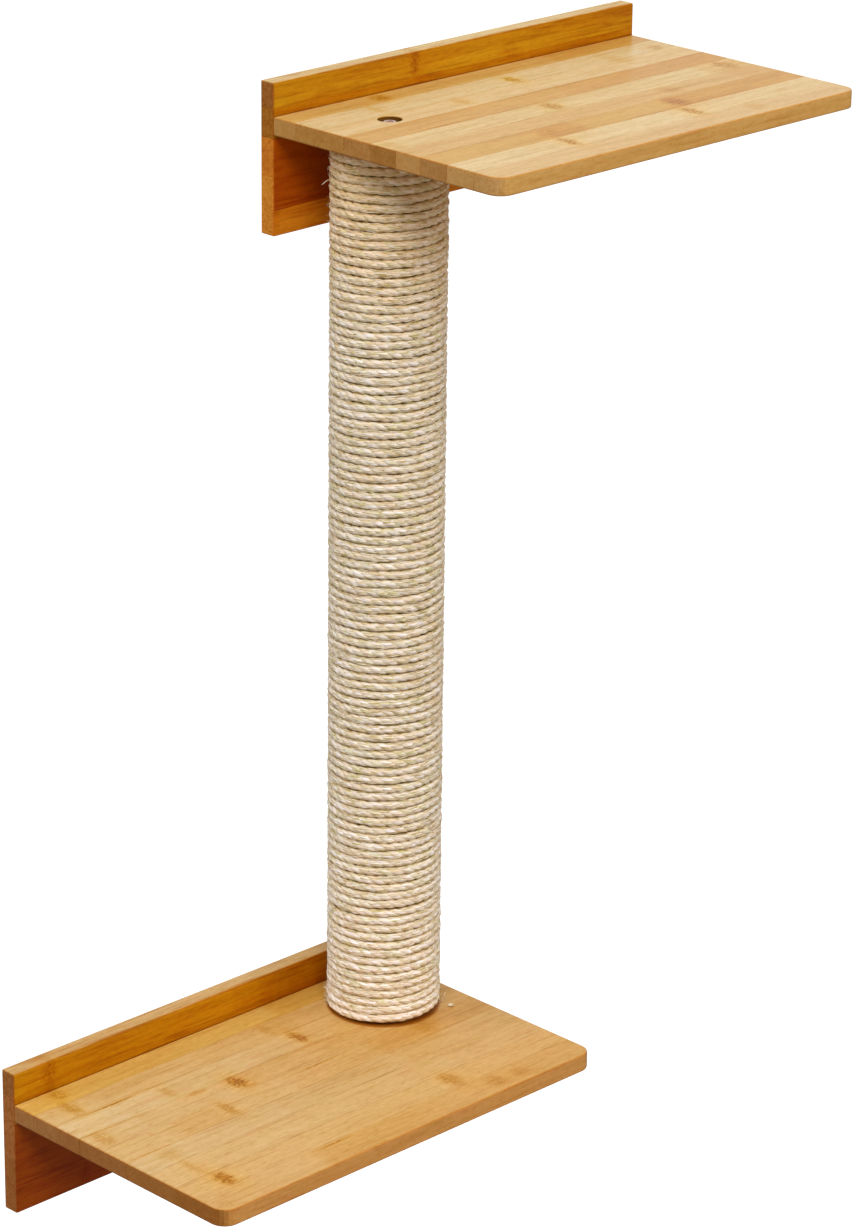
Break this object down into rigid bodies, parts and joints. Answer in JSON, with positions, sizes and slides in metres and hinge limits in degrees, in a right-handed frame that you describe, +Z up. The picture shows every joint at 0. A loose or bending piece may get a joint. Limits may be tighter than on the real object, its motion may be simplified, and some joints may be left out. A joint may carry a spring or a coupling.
{
  "type": "wall-mounted cat scratching post",
  "caption": "Wall-mounted cat scratching post: a sisal-wound upright bolted between two bamboo shelves, each shelf on a back plate that screws to the wall.",
  "frame": {"origin": "centre of the upper back plate's wall face, on the wall plane", "axes": "+Z up along the post, +Y into the wall, +X to the right as seen from the room; the object stands out along -Y"},
  "size_m": [0.558, 0.2123, 0.7126],
  "materials": {
    "bamboo_plate": "laminated bamboo, satin varnish, amber",
    "bamboo_shelf": "laminated bamboo, satin varnish, honey",
    "sisal": "three-strand laid sisal rope, undyed, with loose fibres",
    "cardboard_tube": "spiral-wound grey-brown board, matt",
    "plug_wood": "turned softwood, bare",
    "insert_zinc": "zinc, dull",
    "bolt_steel": "zinc plated, slightly dull",
    "washer_steel": "zinc plated",
    "screw_steel": "yellow zinc plated",
    "brad_steel": "bright steel",
    "staple_steel": "galvanised wire"
  },
  "bodies": {
    "root": {"lower_back_plate": "bamboo_plate", "lower_end_plug": "plug_wood", "lower_insert_nut": "insert_zinc", "lower_plug_brad_1": "brad_steel", "lower_plug_brad_2": "brad_steel", "lower_plug_brad_3": "brad_steel", "lower_plug_brad_4": "brad_steel", "lower_post_bolt": "bolt_steel", "lower_post_washer": "washer_steel", "lower_rope_staple": "staple_steel", "lower_shelf": "bamboo_shelf", "lower_shelf_screw_left": "screw_steel", "lower_shelf_screw_middle": "screw_steel", "lower_shelf_screw_right": "screw_steel", "post_core_tube": "cardboard_tube", "sisal_rope": "sisal", "upper_back_plate": "bamboo_plate", "upper_end_plug": "plug_wood", "upper_insert_nut": "insert_zinc", "upper_plug_brad_1": "brad_steel", "upper_plug_brad_2": "brad_steel", "upper_plug_brad_3": "brad_steel", "upper_plug_brad_4": "brad_steel", "upper_post_bolt": "bolt_steel", "upper_post_washer": "washer_steel", "upper_rope_staple": "staple_steel", "upper_shelf": "bamboo_shelf", "upper_shelf_screw_left": "screw_steel", "upper_shelf_screw_middle": "screw_steel", "upper_shelf_screw_right": "screw_steel"}
  },
  "joints": []
}
